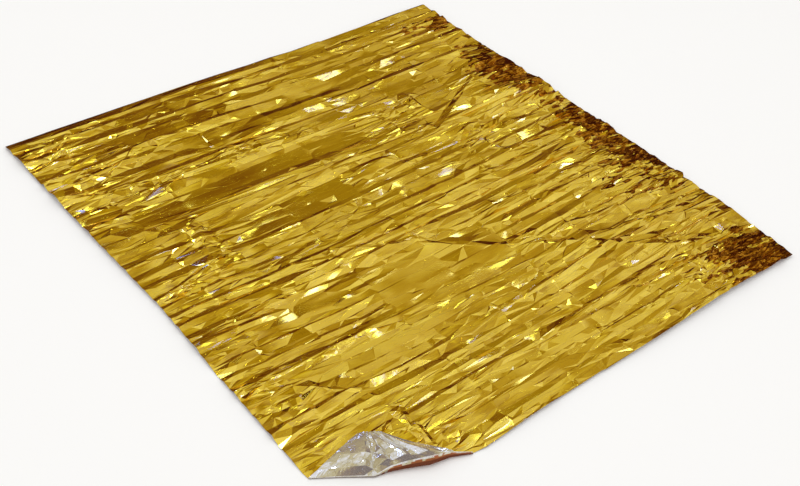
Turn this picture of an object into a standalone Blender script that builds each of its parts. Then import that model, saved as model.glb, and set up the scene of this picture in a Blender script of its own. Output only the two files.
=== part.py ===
"""An emergency foil blanket, opened out from its pack and lying flat, with one corner turned over.

The blanket is one sheet of metallised film. Its packing left it pleated over its whole length, with
lighter creases the other way and a few long slanting ridges. The near left corner is turned back over a
soft bend, so that its silver side shows. X runs along the pleats, Y across them and Z up, in metres.
"""
import math
import random
from collections import namedtuple

import bmesh
import bpy
from mathutils import Vector

# Driving sizes. The sheet is laid out from its near left corner, at 0, 0, and is centred last.
LYING_WIDTH = 1.60
LYING_LENGTH = 1.65
FILM_THICKNESS = 0.001
CELLS_ACROSS = 20
FOOT_SHARE = 0.17
CREST_LEAN = 0.007
CREASE_SWAY = 0.007
SEED = 11

# The pleats in bands, from the near edge to the far one. Each pleat has a flat foot, a rise and a fall.
Band = namedtuple("Band", "length pleats height uneven")
BANDS = (
    Band(0.20, 3, 0.0040, 0.30),
    Band(0.40, 6, 0.0050, 0.35),
    Band(0.22, 3, 0.0065, 0.50),
    Band(0.28, 4, 0.0060, 0.55),
    Band(0.20, 3, 0.0070, 0.45),
    Band(0.35, 5, 0.0050, 0.40),
)

# Ridges that cross the pleats: the two ends of the crest, its height, and how far its slopes reach.
Ridge = namedtuple("Ridge", "x0 y0 x1 y1 height reach")
RIDGES = (
    Ridge(0.43, 0.78, 0.73, 0.63, 0.008, 0.05),
    Ridge(0.73, 0.63, 0.99, 0.46, 0.010, 0.05),
    Ridge(0.99, 0.46, 1.31, 0.24, 0.009, 0.05),
    Ridge(1.03, 1.21, 1.14, 1.03, 0.010, 0.05),
    Ridge(1.14, 1.03, 1.37, 1.18, 0.013, 0.06),
    Ridge(0.01, 0.84, 0.22, 0.88, 0.009, 0.04),
    Ridge(0.22, 0.88, 0.25, 1.05, 0.008, 0.05),
    Ridge(1.42, 1.09, 1.63, 1.05, 0.024, 0.07),
    Ridge(1.48, 0.78, 1.63, 0.75, 0.011, 0.05),
)

# How far the edges stray from straight lines, at shares of their run: sides towards +X, ends towards +Y.
Side = namedtuple("Side", "at left right")
SIDES = (
    Side(0.00, 0.000, 0.004),
    Side(0.12, 0.004, 0.022),
    Side(0.30, 0.008, 0.030),
    Side(0.50, 0.017, 0.026),
    Side(0.65, 0.008, 0.020),
    Side(0.80, 0.001, 0.016),
    Side(1.00, -0.006, 0.010),
)
End = namedtuple("End", "at near far")
ENDS = (
    End(0.00, 0.000, 0.000),
    End(0.25, -0.002, 0.005),
    End(0.42, 0.006, 0.008),
    End(0.62, 0.002, -0.005),
    End(0.83, 0.006, 0.000),
    End(1.00, -0.001, 0.008),
)

# The turned corner. Stations run along its fold, from the left edge to the near edge: where the sheet
# leaves the ground, and how high its bend stands there.
Station = namedtuple("Station", "along x y bend")
FOLD = (
    Station(0.00, 0.006, 0.166, 0.005),
    Station(0.18, 0.072, 0.124, 0.010),
    Station(0.35, 0.134, 0.092, 0.014),
    Station(0.57, 0.209, 0.070, 0.022),
    Station(0.72, 0.259, 0.048, 0.018),
    Station(0.86, 0.307, 0.030, 0.011),
    Station(1.00, 0.357, 0.004, 0.006),
)
# The flap beyond the bend, row by row up to its tip: its two free edges, and how high they stand.
Row = namedtuple("Row", "share left_x left_y right_x right_y height")
FLAP = (
    Row(0.25, 0.042, 0.174, 0.290, 0.046, 0.015),
    Row(0.50, 0.078, 0.183, 0.262, 0.090, 0.018),
    Row(0.75, 0.120, 0.190, 0.236, 0.132, 0.016),
    Row(0.92, 0.152, 0.194, 0.212, 0.170, 0.014),
    Row(1.00, 0.182, 0.196, 0.182, 0.196, 0.013),
)
FLAP_WRINKLE = 0.002
BEND_STEPS = 5
CORNER_REACH = 0.45
CALM_BESIDE_FOLD = 0.09

GOLD_SIDE = ((0.55, 0.34, 0.045, 1.0), 0.18)
SILVER_SIDE = ((0.62, 0.60, 0.56, 1.0), 0.20)


def eased(share):
    share = min(max(share, 0.0), 1.0)
    return share * share * (3.0 - 2.0 * share)


def read(rows, key, at, column):
    """A table's column, read in straight runs between its rows."""
    for low, high in zip(rows, rows[1:]):
        if at <= getattr(high, key):
            span = getattr(high, key) - getattr(low, key)
            share = max(at - getattr(low, key), 0.0) / span
            return getattr(low, column) * (1.0 - share) + getattr(high, column) * share
    return getattr(rows[-1], column)


def crease_lines():
    """Where each crease lies across the length, with its height and unevenness: feet are at height 0."""
    lines = [(0.0, 0.0, 0.0)]
    start = 0.0
    for band in BANDS:
        pitch = band.length / band.pleats
        for _ in range(band.pleats):
            lines.append((start + pitch * FOOT_SHARE, 0.0, 0.0))
            lines.append((start + pitch * (1.0 + FOOT_SHARE) / 2.0, band.height, band.uneven))
            start += pitch
            lines.append((start, 0.0, 0.0))
    stretch = LYING_LENGTH / start
    return [(place * stretch, height, uneven) for place, height, uneven in lines]


def ridge_height(x, y):
    """The highest of the crossing ridges over a point. Each is a tent that fades around its crest."""
    highest = 0.0
    point = Vector((x, y))
    for ridge in RIDGES:
        start = Vector((ridge.x0, ridge.y0))
        along = Vector((ridge.x1, ridge.y1)) - start
        share = (point - start).dot(along) / along.length_squared
        nearest = start + along * min(max(share, 0.0), 1.0)
        away = (point - nearest).length
        highest = max(highest, ridge.height * (1.0 - eased(away / ridge.reach)))
    return highest


def fold_line():
    """The straight line under the fold: its start, its direction, its length and its inward normal."""
    start = Vector((FOLD[0].x, FOLD[0].y, 0.0))
    run = Vector((FOLD[-1].x, FOLD[-1].y, 0.0)) - start
    direction = run.normalized()
    return start, direction, run.length, Vector((-direction.y, direction.x, 0.0))


def calm(x, y):
    """0 on the corner's fold, 1 where the pleats have their full height again."""
    start, _, _, inward = fold_line()
    return eased((Vector((x, y, 0.0)) - start).dot(inward) / CALM_BESIDE_FOLD)


def pleated_sheet():
    """A grid with a row of points on each crease and a column on each cross crease, then its heights."""
    lines = crease_lines()
    last_row = len(lines) - 1
    bm = bmesh.new()
    bmesh.ops.create_grid(bm, x_segments=CELLS_ACROSS, y_segments=last_row, size=0.5)
    draw = random.Random(SEED)
    sway = [draw.uniform(-CREASE_SWAY, CREASE_SWAY) for _ in range(CELLS_ACROSS + 1)]
    sway[0] = 0.0
    sway[-1] = 0.0
    for vert in sorted(bm.verts, key=lambda v: (round(v.co.y, 5), round(v.co.x, 5))):
        row = round((vert.co.y + 0.5) * last_row)
        column = round((vert.co.x + 0.5) * CELLS_ACROSS)
        place, height, uneven = lines[row]
        lift = height * (1.0 + uneven * draw.uniform(-1.0, 1.0))
        lean = CREST_LEAN * draw.uniform(-1.0, 1.0) if height else 0.0
        x_share = column / CELLS_ACROSS
        y_share = place / LYING_LENGTH
        x = LYING_WIDTH * x_share + sway[column]
        y = place + lean
        left = read(SIDES, "at", y_share, "left")
        right = read(SIDES, "at", y_share, "right")
        near = read(ENDS, "at", x_share, "near")
        far = read(ENDS, "at", x_share, "far")
        x += left * (1.0 - x_share) + right * x_share
        y += near * (1.0 - y_share) + far * y_share
        vert.co = (x, y, lift * calm(x, y) + ridge_height(x, y))
    return bm


def faces_with_parts(faces):
    parts = set(faces)
    for face in faces:
        parts.update(face.edges)
        parts.update(face.verts)
    return list(parts)


def cut_ridges(bm):
    """Cuts the sheet along each crossing ridge, so that its crest is one clean line."""
    for ridge in RIDGES:
        start = Vector((ridge.x0, ridge.y0, 0.0))
        along = Vector((ridge.x1, ridge.y1, 0.0)) - start
        crossed = []
        for face in bm.faces:
            share = (face.calc_center_median() - start).dot(along) / along.length_squared
            if 0.0 < share < 1.0:
                crossed.append(face)
        across = along.cross(Vector((0.0, 0.0, 1.0)))
        cut = bmesh.ops.bisect_plane(
            bm, geom=faces_with_parts(crossed), dist=0.003, plane_co=start, plane_no=across
        )
        for item in cut["geom_cut"]:
            if isinstance(item, bmesh.types.BMVert):
                item.co.z = max(item.co.z, ridge_height(item.co.x, item.co.y))


def cut_off_corner(bm):
    """Removes what lies beyond the fold, and returns the cut's edges, each point marked with its share."""
    start, direction, length, inward = fold_line()
    near_corner = []
    for face in bm.faces:
        center = face.calc_center_median()
        if center.x < CORNER_REACH and center.y < CORNER_REACH:
            near_corner.append(face)
    bmesh.ops.bisect_plane(
        bm,
        geom=faces_with_parts(near_corner),
        dist=0.003,
        plane_co=start,
        plane_no=inward,
        clear_inner=True,
    )
    along_layer = bm.verts.layers.float.new("along")
    on_cut = set()
    for vert in bm.verts:
        offset = vert.co - start
        if abs(offset.dot(inward)) < 0.0035 and vert.is_boundary:
            on_cut.add(vert)
            vert[along_layer] = min(max(offset.dot(direction) / length, 0.0), 1.0)
    return [e for e in bm.edges if e.is_boundary and e.verts[0] in on_cut and e.verts[1] in on_cut]


def bend_point(along, turn):
    """A point of the bend, where turn runs from 0 on the ground to 1 on top."""
    _, _, _, inward = fold_line()
    radius = read(FOLD, "along", along, "bend") / 2.0
    foot = Vector((read(FOLD, "along", along, "x"), read(FOLD, "along", along, "y"), 0.0))
    angle = math.pi * turn
    return foot - inward * radius * math.sin(angle) + Vector((0.0, 0.0, radius * (1.0 - math.cos(angle))))


def flap_point(along, row):
    """A point of the flap, led from the bend's top to the tip and held by the two free edges."""
    tip = Vector((FLAP[-1].left_x, FLAP[-1].left_y, FLAP[-1].height))
    ends = (
        (1.0 - along, bend_point(0.0, 1.0), Vector((row.left_x, row.left_y, row.height))),
        (along, bend_point(1.0, 1.0), Vector((row.right_x, row.right_y, row.height))),
    )
    point = bend_point(along, 1.0).lerp(tip, row.share)
    for weight, root, held in ends:
        point += weight * (held - root.lerp(tip, row.share))
    return point


def turn_corner(bm):
    """Carries the cut edge round its bend and on to the flap's tip, ring by ring."""
    edges = cut_off_corner(bm)
    along_layer = bm.verts.layers.float["along"]
    draw = random.Random(SEED)
    for vert in {v for edge in edges for v in edge.verts}:
        vert.co = bend_point(vert[along_layer], 0.0)
    rings = [("bend", (step + 1) / BEND_STEPS) for step in range(BEND_STEPS)]
    rings += [("flap", row) for row in FLAP]
    for kind, place in rings:
        grown = bmesh.ops.extrude_edge_only(bm, edges=edges)["geom"]
        edges = [item for item in grown if isinstance(item, bmesh.types.BMEdge)]
        ring = [item for item in grown if isinstance(item, bmesh.types.BMVert)]
        for vert in sorted(ring, key=lambda v: v[along_layer]):
            along = vert[along_layer]
            if kind == "bend":
                vert.co = bend_point(along, place)
            else:
                vert.co = flap_point(along, place)
                vert.co.z += FLAP_WRINKLE * draw.uniform(-1.0, 1.0) * (1.0 - place.share)
    bmesh.ops.pointmerge(bm, verts=ring, merge_co=ring[0].co)


def centre_on_ground(bm):
    """Puts the middle of the outline at 0, 0, with the top of a flat foot one thickness up."""
    xs = [vert.co.x for vert in bm.verts]
    ys = [vert.co.y for vert in bm.verts]
    middle = Vector(((min(xs) + max(xs)) / 2.0, (min(ys) + max(ys)) / 2.0, -FILM_THICKNESS))
    bmesh.ops.translate(bm, verts=bm.verts, vec=-middle)


def film_material(name, finish):
    colour, roughness = finish
    material = bpy.data.materials.new(name)
    material.use_nodes = True
    shader = material.node_tree.nodes["Principled BSDF"]
    shader.inputs["Base Color"].default_value = colour
    shader.inputs["Metallic"].default_value = 1.0
    shader.inputs["Roughness"].default_value = roughness
    return material


def foil_sheet():
    """The blanket's only piece: gold above, silver beneath, with its thickness grown downwards."""
    bm = pleated_sheet()
    cut_ridges(bm)
    turn_corner(bm)
    centre_on_ground(bm)
    bmesh.ops.triangulate(bm, faces=bm.faces, quad_method="SHORT_EDGE")
    mesh = bpy.data.meshes.new("foil_sheet")
    bm.to_mesh(mesh)
    bm.free()
    sheet = bpy.data.objects.new("foil_sheet", mesh)
    mesh.materials.append(film_material("gold film", GOLD_SIDE))
    mesh.materials.append(film_material("silver film", SILVER_SIDE))
    film = sheet.modifiers.new("Film thickness", "SOLIDIFY")
    film.thickness = FILM_THICKNESS
    film.offset = -1.0
    film.use_even_offset = True
    film.material_offset = 1
    return sheet


def main():
    for old in list(bpy.data.objects):
        bpy.data.objects.remove(old, do_unlink=True)
    blanket = bpy.data.collections.new("Emergency foil blanket")
    bpy.context.scene.collection.children.link(blanket)
    blanket.objects.link(foil_sheet())


main()
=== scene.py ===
"""The looks of the emergency foil blanket: one sheet of crinkled film, gold above and silver beneath."""

import math
import random
from collections import Counter, namedtuple
from functools import partial

import bmesh
import bpy
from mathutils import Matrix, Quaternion, Vector, noise


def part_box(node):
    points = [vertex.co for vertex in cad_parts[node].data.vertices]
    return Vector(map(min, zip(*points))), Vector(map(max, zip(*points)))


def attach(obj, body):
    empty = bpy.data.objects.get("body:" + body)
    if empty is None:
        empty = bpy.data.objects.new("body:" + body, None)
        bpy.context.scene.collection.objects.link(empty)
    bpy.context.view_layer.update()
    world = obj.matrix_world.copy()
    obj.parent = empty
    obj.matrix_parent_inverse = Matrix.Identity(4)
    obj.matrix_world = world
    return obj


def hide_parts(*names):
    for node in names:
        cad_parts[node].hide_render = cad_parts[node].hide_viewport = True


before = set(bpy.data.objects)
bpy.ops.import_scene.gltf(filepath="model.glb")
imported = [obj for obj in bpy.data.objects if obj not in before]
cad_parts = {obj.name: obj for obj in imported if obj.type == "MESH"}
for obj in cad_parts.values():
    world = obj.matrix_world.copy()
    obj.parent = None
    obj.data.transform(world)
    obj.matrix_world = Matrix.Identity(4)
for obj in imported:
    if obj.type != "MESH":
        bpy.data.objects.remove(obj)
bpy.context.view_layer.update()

# The sheet is laid out in metres from its near left corner. X runs along the pleats, Y across them.
LYING_WIDTH = 1.60
LYING_LENGTH = 1.65
FILM_THICKNESS = 0.0003
SEED = 11

# Waves of noise: how many to the metre along and across the sheet, or to the row of creases, and where the
# noise is cut. Where each point also has a draw of its own, the draw counts for this share.
Waves = namedtuple("Waves", "along across cut")
OWN_DRAW = 0.35
UP = Vector((0.0, 0.0, 1.0))

# The pleats in bands, from the near edge to the far one. Each has a rise in two parts, and a fall.
Band = namedtuple("Band", "length pleats height uneven")
BANDS = (
    Band(0.20, 4, 0.0034, 0.30),
    Band(0.40, 9, 0.0038, 0.35),
    Band(0.22, 5, 0.0044, 0.50),
    Band(0.28, 6, 0.0045, 0.55),
    Band(0.20, 4, 0.0055, 0.45),
    Band(0.35, 7, 0.0044, 0.40),
)
# One of a pleat's creases: its place, its pleat's height, its own share of that, and how uneven it is.
Crease = namedtuple("Crease", "y height share uneven")
# How far along its pleat a crest lies, and how far up to the crest the rise bends.
CREST_SHARES = (0.62, 0.86)
BEND_SHARES = (0.35, 0.65)
# How far creases lean to and fro, each for itself, how far all drift together, and how much nearer a high
# pleat's crest lies, which widens its fall.
CREST_LEAN = 0.009
LEAN_WAVES = Waves(2.3, 0.9, 0.3)
LEAN_SLOW = 1.6
DRIFT = 0.035
DRIFT_WAVES = Waves(1.7, 2.2, 5.5)
WIDER_FALL = 0.012
SMALLEST_GAP = 0.0015
# How a pleat's height swells along it, how much each point strays from that, and the sheet's own waves.
LEAST_SWELL = 0.1
MEAN_SWELL = 0.9
MORE_SWELL = 3.6
SWELL_WAVES = Waves(3.3, 2.9, 4.1)
OWN_LIFT = 0.0026
OWN_WAVES = Waves(4.7, 3.7, 9.2)
OWN_AT_BEND = 0.45
BUSY_WAVES = Waves(1.6, 3.0, 3.3)
BUSY_MEAN = 0.8
BUSY_MORE = 1.2
WAVE = 0.013
WAVE_WAVES = Waves(2.1, 2.6, 7.7)
# How little of their height the pleats keep in the calmest patches.
CALMEST = 0.12

# Creases that cross the pleats: the two ends of the crest, its height, how far its slopes reach, and how
# wide the steep strip on its far side is. With a 0 there, both sides are gentle.
Ridge = namedtuple("Ridge", "x0 y0 x1 y1 height reach step")
RIDGES = (
    # The long slanting chain.
    Ridge(0.38, 0.76, 0.55, 0.71, 0.004, 0.03, 0.006),
    Ridge(0.55, 0.71, 0.73, 0.63, 0.007, 0.05, 0.012),
    Ridge(0.73, 0.63, 0.84, 0.545, 0.009, 0.05, 0.016),
    Ridge(0.84, 0.545, 0.99, 0.46, 0.010, 0.05, 0.020),
    Ridge(0.99, 0.46, 1.13, 0.36, 0.011, 0.05, 0.022),
    Ridge(1.13, 0.36, 1.24, 0.275, 0.012, 0.05, 0.025),
    Ridge(1.24, 0.275, 1.40, 0.19, 0.011, 0.05, 0.024),
    # The star and the slack creases that run out of it.
    Ridge(1.01, 1.20, 1.04, 1.07, 0.008, 0.04, 0.010),
    Ridge(1.05, 1.07, 1.15, 1.035, 0.006, 0.03, 0.004),
    Ridge(1.135, 1.025, 1.43, 1.19, 0.013, 0.07, 0.020),
    Ridge(1.175, 1.215, 1.19, 1.11, 0.008, 0.04, 0.010),
    Ridge(1.15, 1.035, 0.80, 1.085, 0.003, 0.05, 0.0),
    Ridge(1.15, 1.035, 0.82, 0.985, 0.003, 0.04, 0.0),
    Ridge(1.15, 1.035, 1.36, 0.945, 0.004, 0.05, 0.0),
    # The left side.
    Ridge(0.010, 0.833, 0.225, 0.886, 0.0045, 0.011, 0.0),
    Ridge(0.22, 0.88, 0.25, 1.05, 0.008, 0.05, 0.0),
    Ridge(0.00, 1.545, 0.075, 1.495, 0.010, 0.03, 0.016),
    Ridge(0.075, 1.495, 0.165, 1.585, 0.009, 0.03, 0.012),
    Ridge(0.12, 1.385, 0.17, 1.335, 0.006, 0.02, 0.007),
    Ridge(0.15, 1.345, 0.30, 1.43, 0.006, 0.03, 0.007),
    Ridge(0.00, 1.335, 0.125, 1.275, 0.010, 0.03, 0.016),
    Ridge(0.26, 1.455, 0.47, 1.42, 0.006, 0.03, 0.009),
    Ridge(0.36, 1.255, 0.52, 1.275, 0.006, 0.03, 0.009),
    Ridge(0.52, 1.275, 0.62, 1.25, 0.006, 0.03, 0.008),
    Ridge(0.03, 0.66, 0.33, 0.665, 0.005, 0.03, 0.007),
    Ridge(0.03, 0.445, 0.42, 0.45, 0.006, 0.03, 0.009),
    Ridge(0.17, 0.37, 0.26, 0.295, 0.006, 0.02, 0.007),
    # The right side.
    Ridge(1.42, 1.09, 1.63, 1.05, 0.016, 0.07, 0.0),
    Ridge(1.48, 0.78, 1.63, 0.75, 0.011, 0.05, 0.0),
    Ridge(1.05, 0.812, 1.45, 0.806, 0.006, 0.03, 0.011),
    Ridge(1.12, 0.771, 1.50, 0.765, 0.006, 0.03, 0.012),
    Ridge(1.02, 0.640, 1.45, 0.634, 0.008, 0.03, 0.016),
    Ridge(1.18, 0.609, 1.42, 0.604, 0.005, 0.02, 0.010),
    Ridge(1.20, 0.577, 1.58, 0.572, 0.008, 0.03, 0.016),
    Ridge(1.25, 0.517, 1.58, 0.510, 0.007, 0.03, 0.014),
    Ridge(1.13, 0.436, 1.60, 0.428, 0.009, 0.03, 0.018),
    Ridge(1.23, 0.357, 1.35, 0.347, 0.007, 0.02, 0.014),
    Ridge(1.37, 0.352, 1.52, 0.345, 0.006, 0.02, 0.012),
    Ridge(1.37, 0.320, 1.48, 0.312, 0.007, 0.02, 0.014),
    Ridge(1.33, 0.250, 1.58, 0.243, 0.007, 0.03, 0.014),
    Ridge(0.95, 0.189, 1.27, 0.186, 0.005, 0.02, 0.009),
    Ridge(0.80, 0.157, 1.30, 0.152, 0.005, 0.03, 0.010),
    Ridge(0.90, 0.102, 1.25, 0.098, 0.005, 0.03, 0.009),
    Ridge(1.22, 0.90, 1.23, 0.82, 0.006, 0.02, 0.009),
    Ridge(1.24, 0.83, 1.34, 0.79, 0.006, 0.03, 0.008),
    # Beside the turned corner.
    Ridge(0.306, 0.198, 0.288, 0.149, 0.005, 0.020, 0.010),
    Ridge(0.300, 0.142, 0.300, 0.070, 0.005, 0.020, 0.009),
    # The near edge, where it curls up.
    Ridge(0.93, 0.007, 1.27, 0.007, 0.007, 0.03, 0.016),
    Ridge(0.40, 0.003, 0.80, 0.003, 0.003, 0.02, 0.007),
)
# A piece of a ridge, and the shares of the whole ridge at which it starts and ends.
Piece = namedtuple("Piece", "x0 y0 x1 y1 height reach step first last")
# The steep strips' slope, and how quickly they widen from a ridge's ends. A strip that faces aside is
# steeper, but not below the last facing. Then how uneven the crests are.
STEP_SLOPE = 0.37
STEP_TAPER = 8.0
LEAST_FACING = 0.5
CREST_UNEVEN = 0.4
CREST_WAVES = Waves(11.0, 11.0, 1.7)
# Ridges slant when they rise by more than this share of their run. The main ones slant, have a strip at
# least this wide, and flatten the pleats this far around them by this much.
MAIN_SLANT = 0.3
MAIN_STEP = 0.015
MAIN_REACH = 0.042
MAIN_CALM = 0.8
# A ridge without a strip that reaches less far than this is also cut along its feet.
NARROW_RIDGE = 0.02
# A crease with a steep strip is broken into pieces of about this length, which stray this far to its
# sides, leave these gaps, and differ this much in height and in their strips.
RIDGE_PIECE = 0.07
RIDGE_STRAY = 0.007
UNEVEN_STOPS = 0.3
PIECE_GAP = 0.003
PIECE_HEIGHTS = (0.8, 1.2)
PIECE_STEPS = (0.7, 1.4)
# Points nearer than this are joined, and once more at the end, a little less widely. A strip's ends are
# cut this far past its sides. No facet is longer than the last.
SNAP = 0.002
LAST_SNAP = 0.6 * SNAP
END_MARGIN = 0.003
LONGEST_FACET = 0.45

# How far the edges stray from straight lines, at shares of their run: sides towards +X, ends towards +Y.
Side = namedtuple("Side", "at left right")
SIDES = (
    Side(0.00, 0.000, 0.004),
    Side(0.12, 0.004, 0.022),
    Side(0.30, 0.008, 0.030),
    Side(0.50, 0.017, 0.026),
    Side(0.65, 0.008, 0.020),
    Side(0.80, 0.001, 0.016),
    Side(1.00, -0.006, 0.010),
)
End = namedtuple("End", "at near far")
ENDS = (
    End(0.00, 0.000, 0.000),
    End(0.25, -0.002, 0.005),
    End(0.42, 0.006, 0.008),
    End(0.62, 0.002, -0.005),
    End(0.83, 0.006, 0.000),
    End(1.00, -0.001, 0.008),
)

# The turned corner. Stations run along its fold, from the left edge to the near edge: where the sheet
# leaves the ground, and how high its bend stands there.
Station = namedtuple("Station", "along x y bend")
FOLD = (
    Station(0.00, 0.006, 0.166, 0.003),
    Station(0.18, 0.070, 0.125, 0.004),
    Station(0.35, 0.130, 0.084, 0.006),
    Station(0.45, 0.170, 0.078, 0.016),
    Station(0.57, 0.208, 0.064, 0.021),
    Station(0.72, 0.258, 0.042, 0.025),
    Station(0.86, 0.307, 0.030, 0.016),
    Station(1.00, 0.357, 0.004, 0.006),
)
# The flap beyond the bend, row by row up to its blunt tip: its two free edges, and how high they stand.
Row = namedtuple("Row", "share left_x left_y right_x right_y height")
FLAP = (
    Row(0.14, 0.030, 0.166, 0.325, 0.020, 0.012),
    Row(0.30, 0.055, 0.171, 0.306, 0.043, 0.016),
    Row(0.46, 0.080, 0.176, 0.281, 0.069, 0.018),
    Row(0.62, 0.106, 0.182, 0.257, 0.095, 0.019),
    Row(0.76, 0.128, 0.186, 0.238, 0.121, 0.020),
    Row(0.88, 0.146, 0.190, 0.224, 0.145, 0.020),
    Row(1.00, 0.164, 0.193, 0.211, 0.169, 0.019),
)
# The flap's facets lie between creases that run from the fold to the tip, and stand this far off its
# plane, but nowhere higher than its top. The creases swing this far. Both grow this quickly from the
# flap's edges, and fade by this much towards the tip.
FLAP_CREASES = (0.0, 0.31, 0.36, 0.43, 0.49, 0.58, 0.67, 0.76, 0.88, 1.0)
FLAP_LIFT = 0.0065
FLAP_SWELL = 1.5
FLAP_SWELL_WAVES = Waves(5.3, 3.3, 8.8)
FLAP_SWING = 0.07
FLAP_SWING_WAVES = Waves(3.7, 4.1, 0.4)
FLAP_FREE = 4.0
FLAP_FADE = 0.6
FLAP_CRUMPLE = 1.0
FLAP_TOP = 0.0395
# Where along the fold the silver side is painted copper, a painted reflection of warm surroundings on the
# bend, from none to all of it.
PAINTED_COPPER_FROM = 0.38
PAINTED_COPPER_TO = 0.46
BEND_STEPS = 7
# The sheet's corner is cut off within this distance, and the points of the cut lie this near to its line.
# The pleats grow to their full height this far from it.
CORNER_REACH = 0.45
CUT_WIDTH = 0.0025
CALM_BESIDE_FOLD = 0.09
# Where the sheet's near left corner lies: along and across from the solid's box, and above the ground.
SHEET_CORNER = (0.006, 0.002, 0.0005)

# Where the pack was folded across: each fold left a close pair of creases.
PackFold = namedtuple("PackFold", "x gap")
PACK_FOLDS = (
    PackFold(0.126, 0.010),
    PackFold(0.277, 0.012),
    PackFold(0.491, 0.009),
    PackFold(0.714, 0.010),
    PackFold(0.917, 0.011),
    PackFold(1.120, 0.009),
    PackFold(1.310, 0.012),
    PackFold(1.490, 0.010),
)
# How far a pair of creases, and the loose crease halfway between two pairs, may wander, and how far a
# pair puckers. A gap between pairs this wide has its whole wander.
PAIR_WANDER = 0.005
LOOSE_WANDER = 0.035
WHOLE_GAP = 0.2
PAIR_PUCKER = 0.0006
# How many facets run on across a cross crease.
JOINED_SHARE = 0.4

# Patches of the film, as middle, reach along and across, and strength. A patch is whole out to this share
# of its reach, and gone one reach further out.
Patch = namedtuple("Patch", "x y along across strength")
PATCH_CORE = 0.35
# Where the film is calmer or more crumpled than elsewhere, by how many times its facets are broken again.
# Less than 0 leaves large smooth facets.
PATCHES = (
    Patch(0.04, 0.545, 0.08, 0.035, -4.0),
    Patch(0.03, 0.28, 0.07, 0.03, -4.0),
    Patch(0.56, 1.155, 0.36, 0.045, -3.0),
    Patch(0.72, 0.53, 0.24, 0.09, -3.0),
    Patch(0.62, 0.94, 0.25, 0.05, -2.0),
    Patch(0.40, 0.62, 0.20, 0.05, -2.0),
    Patch(0.95, 1.42, 0.30, 0.05, -1.5),
    Patch(0.10, 1.45, 0.16, 0.20, 1.4),
    Patch(0.26, 0.97, 0.05, 0.12, 3.0),
    Patch(0.13, 0.84, 0.14, 0.05, 2.5),
    Patch(0.45, 1.26, 0.45, 0.06, 1.5),
    Patch(1.08, 1.20, 0.12, 0.10, 2.0),
    Patch(1.15, 0.95, 0.22, 0.10, 1.5),
    Patch(1.56, 0.80, 0.10, 0.70, 2.0),
    Patch(1.45, 0.08, 0.22, 0.14, 3.5),
    Patch(0.30, 0.12, 0.10, 0.10, 2.5),
    Patch(0.06, 0.40, 0.08, 0.30, 1.5),
    Patch(0.80, 0.28, 0.30, 0.05, 1.0),
    Patch(0.65, 1.52, 0.35, 0.05, -1.5),
    Patch(1.15, 1.50, 0.25, 0.05, -1.5),
    Patch(0.60, 1.35, 0.30, 0.04, -1.5),
    Patch(1.25, 1.28, 0.20, 0.04, -1.5),
    Patch(1.10, 0.80, 0.20, 0.04, -1.5),
    Patch(1.15, 0.55, 0.20, 0.04, -1.5),
    Patch(0.80, 0.12, 0.40, 0.04, -1.5),
    Patch(0.35, 0.38, 0.20, 0.04, -1.5),
)

# Where the pleats stand higher, and so fall more steeply, by how much of their height.
HIGH_PLEATS = (
    Patch(1.38, 0.50, 0.46, 0.58, 0.9),
    Patch(1.52, 1.32, 0.16, 0.30, 0.6),
    Patch(0.10, 1.45, 0.24, 0.22, 0.9),
    Patch(0.50, 1.28, 0.30, 0.06, 0.6),
    Patch(0.22, 0.42, 0.28, 0.06, 0.6),
    Patch(0.18, 0.65, 0.22, 0.05, 0.6),
    Patch(0.60, 0.70, 0.16, 0.06, 0.6),
)

# Where the film's small facets lean outwards, as in the crumpled parts of the right edge, by how many. Their
# colour there is also painted dark: a painted shade that stands in for the dark surroundings they mirror.
LEANS = (
    Patch(1.58, 1.18, 0.12, 0.17, 1.0),
    Patch(1.60, 0.76, 0.10, 0.24, 0.9),
    Patch(1.56, 0.50, 0.18, 0.14, 0.45),
    Patch(1.52, 0.05, 0.20, 0.13, 1.0),
    Patch(1.56, 1.53, 0.12, 0.04, 0.8),
)

# Broad panels that replace the pleats where the film lies in large facets: their extent, and their rise
# towards +X and +Y, in metres for each metre.
Panel = namedtuple("Panel", "x0 x1 y0 y1 rise_x rise_y")
PANELS = (
    Panel(0.00, 0.09, 0.536, 0.553, 0.17, 0.00),
    Panel(0.00, 0.07, 0.260, 0.288, 0.18, -0.066),
    Panel(0.14, 1.06, 1.11, 1.19, 0.00, -0.012),
    Panel(0.50, 0.95, 0.45, 0.62, -0.01, -0.018),
    Panel(0.36, 0.80, 0.91, 1.00, 0.00, -0.035),
    Panel(0.24, 0.55, 0.58, 0.66, 0.00, -0.045),
    Panel(1.03, 1.40, 1.06, 1.24, 0.00, 0.02),
    Panel(0.99, 1.30, 0.93, 1.02, 0.00, -0.02),
    Panel(0.72, 1.05, 1.39, 1.46, 0.00, 0.06),
    Panel(1.50, 1.64, 0.28, 0.88, -0.10, 0.00),
    Panel(1.50, 1.64, 1.14, 1.34, -0.10, -0.05),
    Panel(1.34, 1.64, 0.01, 0.18, -0.06, -0.03),
    Panel(0.00, 0.90, 1.62, 1.66, 0.00, -0.26),
)
# How wide their margins are, half that across, how far the margins stray, and how much of the pleats'
# height is lost inside.
PANEL_MARGIN = 0.04
PANEL_RAGGED = 0.09
RAGGED_MARGIN_WAVES = Waves(1.2, 5.3, 2.2)
PANEL_CALM = 0.85

# A crease runs along the pleats if it slants by less than this share of its run. One longer than this is
# kinked into pieces of these lengths, more or less, whose ends stray this far along Y and Z.
ALONG_SLANT = 0.35
LONGEST_CREASE = 0.03
CREASE_PIECES = (0.025, 0.070)
UNEVEN_PIECES = (0.7, 1.3)
KINK_ASIDE = 0.0025
KINK_UP = 0.0008
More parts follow.
